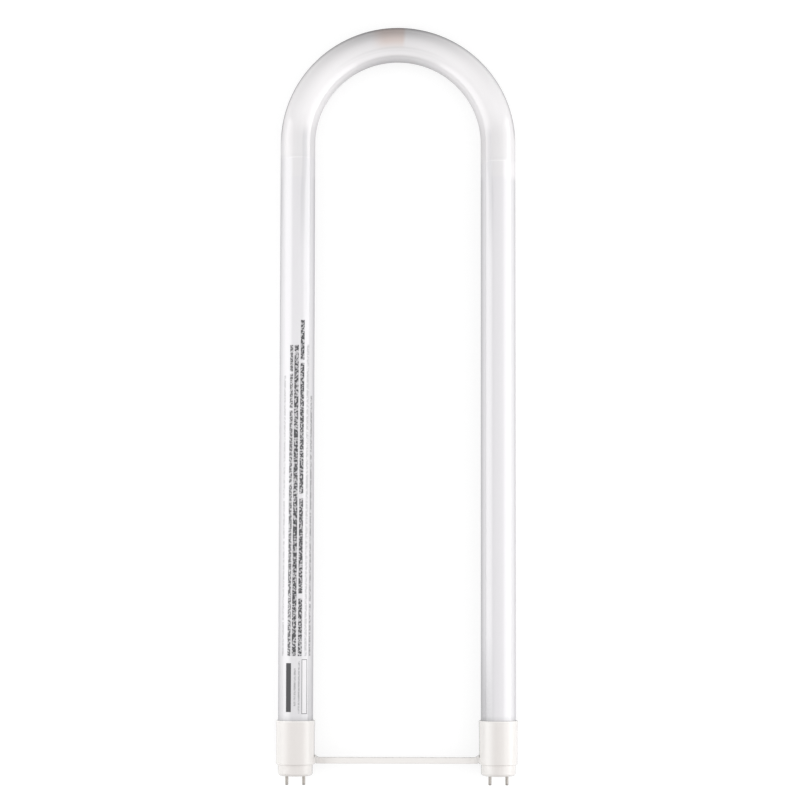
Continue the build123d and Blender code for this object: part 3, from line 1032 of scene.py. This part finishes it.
# The bracket takes the mouldings' painted shade, with a painted highlight along its rim edge.
bracket_finish = moulded_white("bracket_moulding", bracket_high.y)
bracket_piece = new_piece("leg_bracket_moulding", bracket, bracket_finish, "bracket_plastic", "leg_bracket")
rounding = bracket_piece.modifiers.new("rounding", "SUBSURF")
rounding.levels = 2
rounding.render_levels = 2


# Floor: a plain white table under the lamp, which shows white and takes a faint shadow.
# It lights the lamp from below only as much as grey card would.
floor_reach = 8.0
floor_shade = 0.30
floor_white = 0.775

floor_mesh = bmesh.new()
bmesh.ops.create_grid(floor_mesh, x_segments=2, y_segments=2, size=floor_reach)
floor_data = bpy.data.meshes.new("floor")
floor_mesh.to_mesh(floor_data)
floor_mesh.free()
floor = bpy.data.objects.new("floor", floor_data)
floor.location.z = cad_box[0].z
bpy.context.scene.collection.objects.link(floor)
floor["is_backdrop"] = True

floor_finish = bpy.data.materials.new("floor_white")
floor_finish.use_nodes = True
floor_tree = floor_finish.node_tree
floor_tree.nodes.clear()
start = Flow(floor_tree, None)
diffuse = start.node("ShaderNodeBsdfDiffuse", {}, {"Color": (floor_shade, floor_shade, floor_shade, 1)})
path = floor_tree.nodes.new("ShaderNodeLightPath")
from_camera, from_gloss, from_glass = [
    Flow(floor_tree, path.outputs[f"Is {kind} Ray"]) for kind in ("Camera", "Glossy", "Transmission")
]
seen = from_camera.maths("MAXIMUM", from_gloss).maths("MAXIMUM", from_glass)
glow = start.node("ShaderNodeEmission", {}, {"Strength": seen * floor_white})
both = start.node("ShaderNodeAddShader", {}, {0: diffuse, 1: glow})
floor_output = floor_tree.nodes.new("ShaderNodeOutputMaterial")
floor_tree.links.new(both.socket, floor_output.inputs["Surface"])
floor_data.materials.append(floor_finish)


# Studio: three long soft boxes above one another on each side, the lowest the brightest, in a pale room.
# The room is brighter to the sides and overhead, and dark beyond the bend, so the tube is darker there.
def soft_box(name, middle, size, tilt, radiance):
    """An area lamp with that radiance, as its watts are spread over four times its area."""
    data = bpy.data.lights.new(name, "AREA")
    data.shape = "RECTANGLE"
    data.size, data.size_y = size
    data.energy = 4 * size[0] * size[1] * radiance
    lamp = bpy.data.objects.new(name, data)
    lamp.matrix_world = Matrix.Translation(middle) @ tilt
    lamp.visible_camera = False
    bpy.context.scene.collection.objects.link(lamp)


box_distance = 0.42
box_near, box_far = -0.45, 0.35
soft_boxes = [
    ("left_low_box", -1, 0.03, 0.28, 0.91),
    ("left_middle_box", -1, 0.28, 0.40, 0.71),
    ("left_high_box", -1, 0.40, 0.56, 0.51),
    ("right_low_box", 1, 0.03, 0.11, 1.16),
    ("right_middle_box", 1, 0.11, 0.28, 0.72),
    ("right_high_box", 1, 0.28, 0.56, 0.46),
]
for name, side, low, high, radiance in soft_boxes:
    facing = Matrix.Rotation(side * math.pi / 2, 4, "Z") @ Matrix.Rotation(math.pi / 2, 4, "X")
    middle = (side * box_distance, (box_near + box_far) / 2, (low + high) / 2)
    soft_box(name, middle, (box_far - box_near, high - low), facing, radiance)

ceiling_level = 0.85
ceiling_narrowness = 4.0
overhead_level = 0.08
left_level = 0.73
right_level = 1.08
near_level = 0.24
world = bpy.data.worlds.new("room")
bpy.context.scene.world = world
world.use_nodes = True
walls = world.node_tree.nodes["Background"]
walls.inputs["Color"].default_value = (1, 1, 1, 1)
direction = Flow(world.node_tree, world.node_tree.nodes.new("ShaderNodeTexCoord").outputs["Generated"])
sideways, along, upwards = axes(direction)
lobes = [sideways * -left_level, sideways * right_level, along * -near_level, upwards * overhead_level]
room_level = sum(lobe.maths("MAXIMUM", 0.0) for lobe in lobes)
ceiling = upwards.maths("MAXIMUM", 0.0).maths("POWER", ceiling_narrowness)
room_level = room_level + ceiling_level * ceiling
world.node_tree.links.new(room_level.socket, walls.inputs["Strength"])


# Camera: it looks almost straight down on the lamp, from nearly two metres up.
# Its place, tilt and lens are those that put the legs, bend, sleeves and pins where they are seen.
camera_place = Vector((0.00049, -0.1209, 1.9676))
camera_pitch = math.radians(3.612)
camera_yaw = math.radians(0.04)
camera_roll = math.radians(0.1055)
focal_pixels = 2585
picture_width = 800

camera_data = bpy.data.cameras.new("camera")
camera_data.sensor_width = 36
camera_data.lens = focal_pixels / picture_width * camera_data.sensor_width
camera_data.clip_end = 100
camera = bpy.data.objects.new("camera", camera_data)
tilt = Matrix.Rotation(camera_pitch, 4, "X")
turn = Matrix.Rotation(-camera_yaw, 4, "Y")
roll = Matrix.Rotation(camera_roll, 4, "Z")
camera.matrix_world = Matrix.Translation(camera_place) @ tilt @ turn @ roll
bpy.context.scene.collection.objects.link(camera)
bpy.context.scene.camera = camera
bpy.context.scene.view_settings.view_transform = "Standard"

boxes = {"cad": cad_box, "visual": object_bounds()}
{name: [list(corner) for corner in box] for name, box in boxes.items()}
